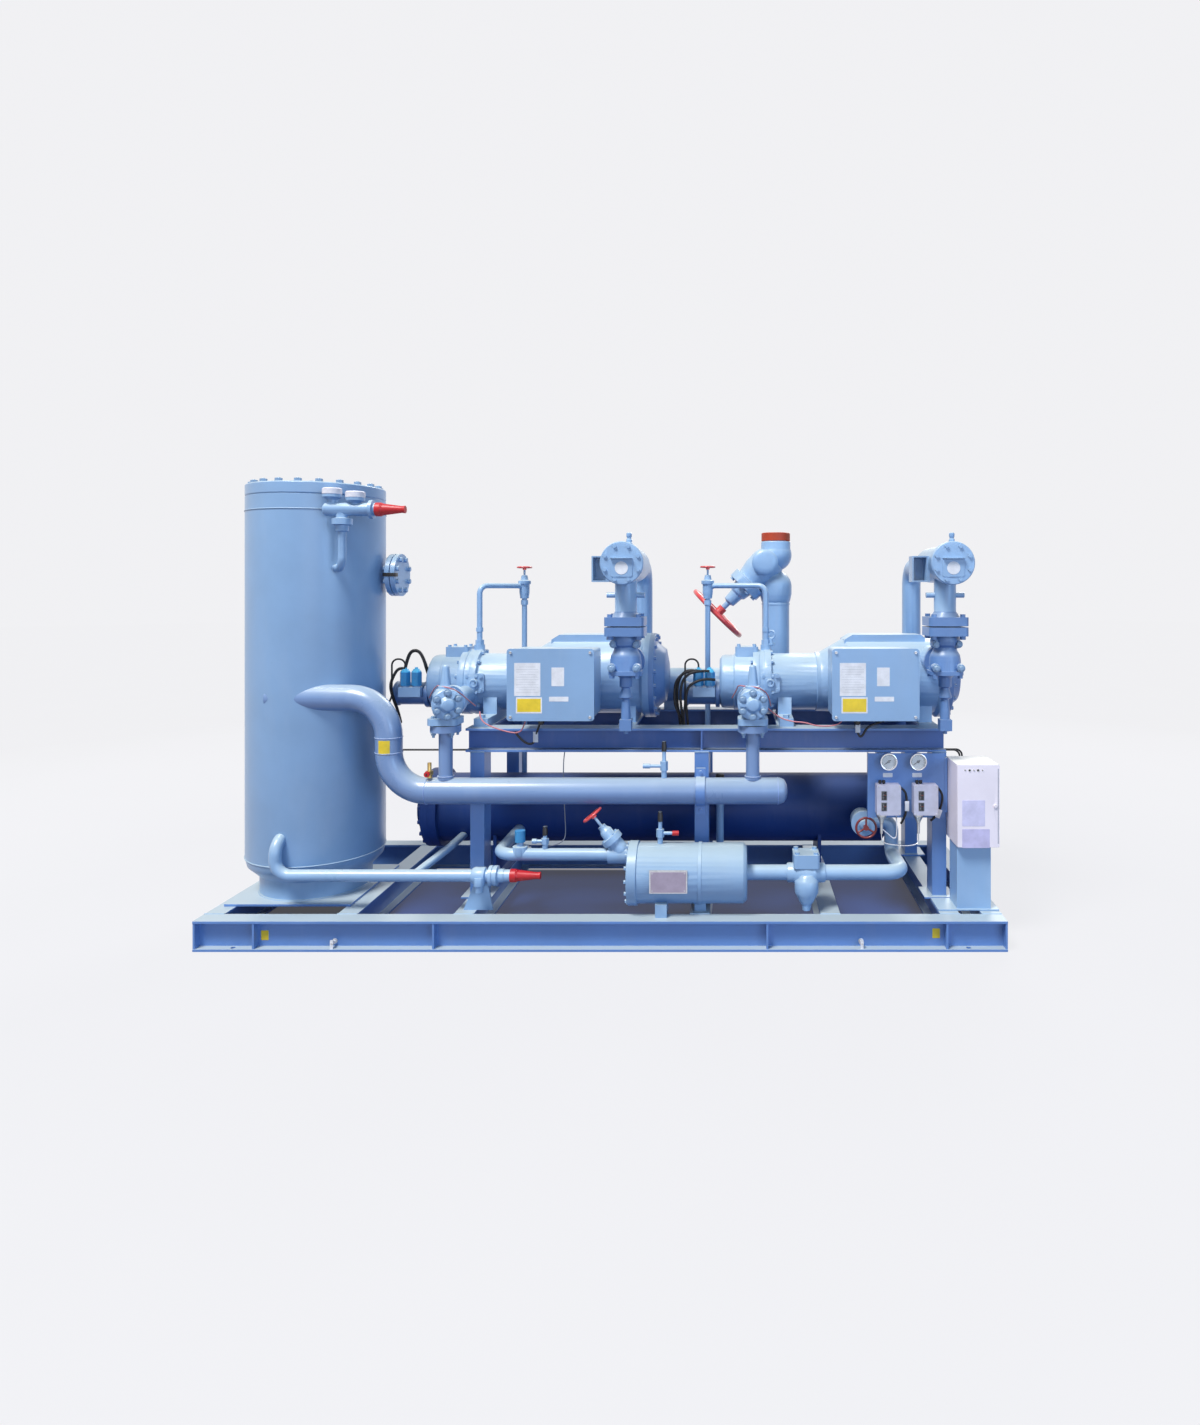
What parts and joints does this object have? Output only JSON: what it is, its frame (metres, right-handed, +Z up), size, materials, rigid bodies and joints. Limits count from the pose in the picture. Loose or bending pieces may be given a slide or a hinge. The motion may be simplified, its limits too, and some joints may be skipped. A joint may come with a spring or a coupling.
{
  "type": "screw compressor unit",
  "caption": "Screw compressor unit on a welded steel base: motor compressors, oil separator, discharge and suction pipework, valves, filter, cooler vessel, gauges and cabinet.",
  "frame": {"origin": "middle of the underside of the base frame", "axes": "+X along the unit from the oil separator to the cabinet, +Y to the back, +Z up"},
  "size_m": [3.2, 1.1, 1.9],
  "materials": {
    "frame_paint": "satin light blue machine enamel",
    "machine_paint": "satin light blue machine enamel over castings",
    "header_paint": "paler blue enamel over pipe",
    "vessel_paint": "satin blue enamel in the unit's shade",
    "red_paint": "gloss red enamel on handwheels",
    "red_plastic": "soft red moulded cap",
    "orange_plastic": "soft orange moulded cap",
    "coil_plastic": "moulded cyan-blue coil body",
    "cabinet_paint": "fine-textured pale lavender powder coat",
    "control_plastic": "pale moulded case",
    "dark_steel": "machined steel",
    "bolt_steel": "bolts with a coat of the blue enamel",
    "gauge_steel": "polished case",
    "needle_black": "black lacquer",
    "winding_copper": "laminations with varnished copper windings",
    "filter_fabric": "wound glass-fibre element",
    "cable_rubber": "black cable sheath"
  },
  "bodies": {
    "unit": {"base_front_beam": "frame_paint", "base_rear_beam": "frame_paint", "base_cross_members": "frame_paint", "front_portal": "frame_paint", "rear_portal": "frame_paint", "separator_shell": "machine_paint", "separator_cover": "machine_paint", "separator_cover_bolts": "bolt_steel", "coalescer_element": "filter_fabric", "separator_outlet": "machine_paint", "relief_valves": "machine_paint", "discharge_header": "header_paint", "header_bracket": "frame_paint", "service_valves": "dark_steel", "discharge_valve_1": "machine_paint", "discharge_valve_2": "machine_paint", "rotor_housing_1": "machine_paint", "rotor_housing_2": "machine_paint", "motor_housing_1": "machine_paint", "motor_housing_2": "machine_paint", "end_covers": "machine_paint", "slide_cylinders": "machine_paint", "motor_stators": "winding_copper", "terminal_boxes": "machine_paint", "solenoid_coils": "coil_plastic", "suction_valve_1": "machine_paint", "suction_valve_2": "machine_paint", "strainer_1": "machine_paint", "strainer_2": "machine_paint", "suction_header": "machine_paint", "main_suction_valve": "machine_paint", "economizer_lines": "machine_paint", "oil_cooler_vessel": "vessel_paint", "filter_shell": "machine_paint", "filter_cover": "machine_paint", "filter_valve": "machine_paint", "liquid_lines": "machine_paint", "oil_line": "machine_paint", "instrument_panel": "frame_paint", "gauges": "gauge_steel", "pressure_controls": "control_plastic", "control_cabinet": "cabinet_paint", "control_cables": "cable_rubber"},
    "male_rotor_1": {"male_rotor_1": "dark_steel"},
    "male_rotor_2": {"male_rotor_2": "dark_steel"},
    "female_rotor_1": {"female_rotor_1": "dark_steel"},
    "female_rotor_2": {"female_rotor_2": "dark_steel"},
    "slide_valve_1": {"slide_valve_1": "dark_steel"},
    "slide_valve_2": {"slide_valve_2": "dark_steel"},
    "eco_handwheel_1": {"eco_handwheel_1": "red_paint"},
    "eco_handwheel_2": {"eco_handwheel_2": "red_paint"},
    "suction_handwheel": {"suction_handwheel": "red_paint"},
    "filter_handwheel": {"filter_handwheel": "red_paint"},
    "vessel_handwheel": {"vessel_handwheel": "red_paint"},
    "relief_cap": {"relief_cap": "red_plastic"},
    "oil_cap": {"oil_cap": "red_plastic"},
    "inlet_cap": {"inlet_cap": "orange_plastic"},
    "gauge_needle_1": {"gauge_needle_1": "needle_black"},
    "gauge_needle_2": {"gauge_needle_2": "needle_black"},
    "cabinet_door": {"cabinet_door": "cabinet_paint"}
  },
  "joints": [
    {"name": "male_rotor_1_spin", "type": "hinge", "parent": "unit", "child": "male_rotor_1", "pos_m": [-0.55, 0, 1.034], "axis": [1, 0, 0], "continuous": true},
    {"name": "female_rotor_1_spin", "type": "hinge", "parent": "unit", "child": "female_rotor_1", "pos_m": [-0.55, 0.064, 0.96791], "axis": [1, 0, 0], "continuous": true},
    {"name": "slide_valve_1_travel", "type": "slide", "parent": "unit", "child": "slide_valve_1", "axis": [-1, 0, 0], "range_m": [0, 0.09]},
    {"name": "male_rotor_2_spin", "type": "hinge", "parent": "unit", "child": "male_rotor_2", "pos_m": [0.76, 0, 1.034], "axis": [1, 0, 0], "continuous": true},
    {"name": "female_rotor_2_spin", "type": "hinge", "parent": "unit", "child": "female_rotor_2", "pos_m": [0.76, 0.064, 0.96791], "axis": [1, 0, 0], "continuous": true},
    {"name": "slide_valve_2_travel", "type": "slide", "parent": "unit", "child": "slide_valve_2", "axis": [-1, 0, 0], "range_m": [0, 0.09]},
    {"name": "eco_handwheel_1_turn", "type": "hinge", "parent": "unit", "child": "eco_handwheel_1", "pos_m": [-0.476, 0.19, 1.528], "axis": [0, 0, 1], "range_deg": [0, 1440]},
    {"name": "eco_handwheel_2_turn", "type": "hinge", "parent": "unit", "child": "eco_handwheel_2", "pos_m": [0.401, 0.12, 1.528], "axis": [0, 0, 1], "range_deg": [0, 1440]},
    {"name": "suction_handwheel_turn", "type": "hinge", "parent": "unit", "child": "suction_handwheel", "pos_m": [0.44374, 0.29, 1.30574], "axis": [-0.7071, 0, -0.7071], "range_deg": [0, 3600]},
    {"name": "filter_handwheel_turn", "type": "hinge", "parent": "unit", "child": "filter_handwheel", "pos_m": [-0.0529, -0.412, 0.50265], "axis": [-0.6293, 0, 0.7771], "range_deg": [0, 1800]},
    {"name": "vessel_handwheel_turn", "type": "hinge", "parent": "unit", "child": "vessel_handwheel", "pos_m": [1.086, -0.268, 0.41], "axis": [0, -1, 0], "range_deg": [0, 1800]},
    {"name": "relief_cap_pull", "type": "slide", "parent": "unit", "child": "relief_cap", "axis": [1, 0, 0], "range_m": [0, 0.15]},
    {"name": "oil_cap_pull", "type": "slide", "parent": "unit", "child": "oil_cap", "axis": [1, 0, 0], "range_m": [0, 0.15]},
    {"name": "inlet_cap_lift", "type": "slide", "parent": "unit", "child": "inlet_cap", "axis": [0, 0, 1], "range_m": [0, 0.15]},
    {"name": "gauge_needle_1_swing", "type": "hinge", "parent": "unit", "child": "gauge_needle_1", "pos_m": [1.17, -0.3346, 0.704], "axis": [0, 1, 0], "range_deg": [0, 250], "stiffness_Nm_per_rad": 0.002},
    {"name": "gauge_needle_2_swing", "type": "hinge", "parent": "unit", "child": "gauge_needle_2", "pos_m": [1.293, -0.3346, 0.704], "axis": [0, 1, 0], "range_deg": [0, 250], "stiffness_Nm_per_rad": 0.002},
    {"name": "cabinet_door_swing", "type": "hinge", "parent": "unit", "child": "cabinet_door", "pos_m": [1.424, -0.448, 0.55], "axis": [0, 0, -1], "range_deg": [0, 110]}
  ],
  "couplings": [
    {"joint": "female_rotor_1_spin", "follows": "male_rotor_1_spin", "ratio": -0.83333},
    {"joint": "female_rotor_2_spin", "follows": "male_rotor_2_spin", "ratio": -0.83333}
  ]
}
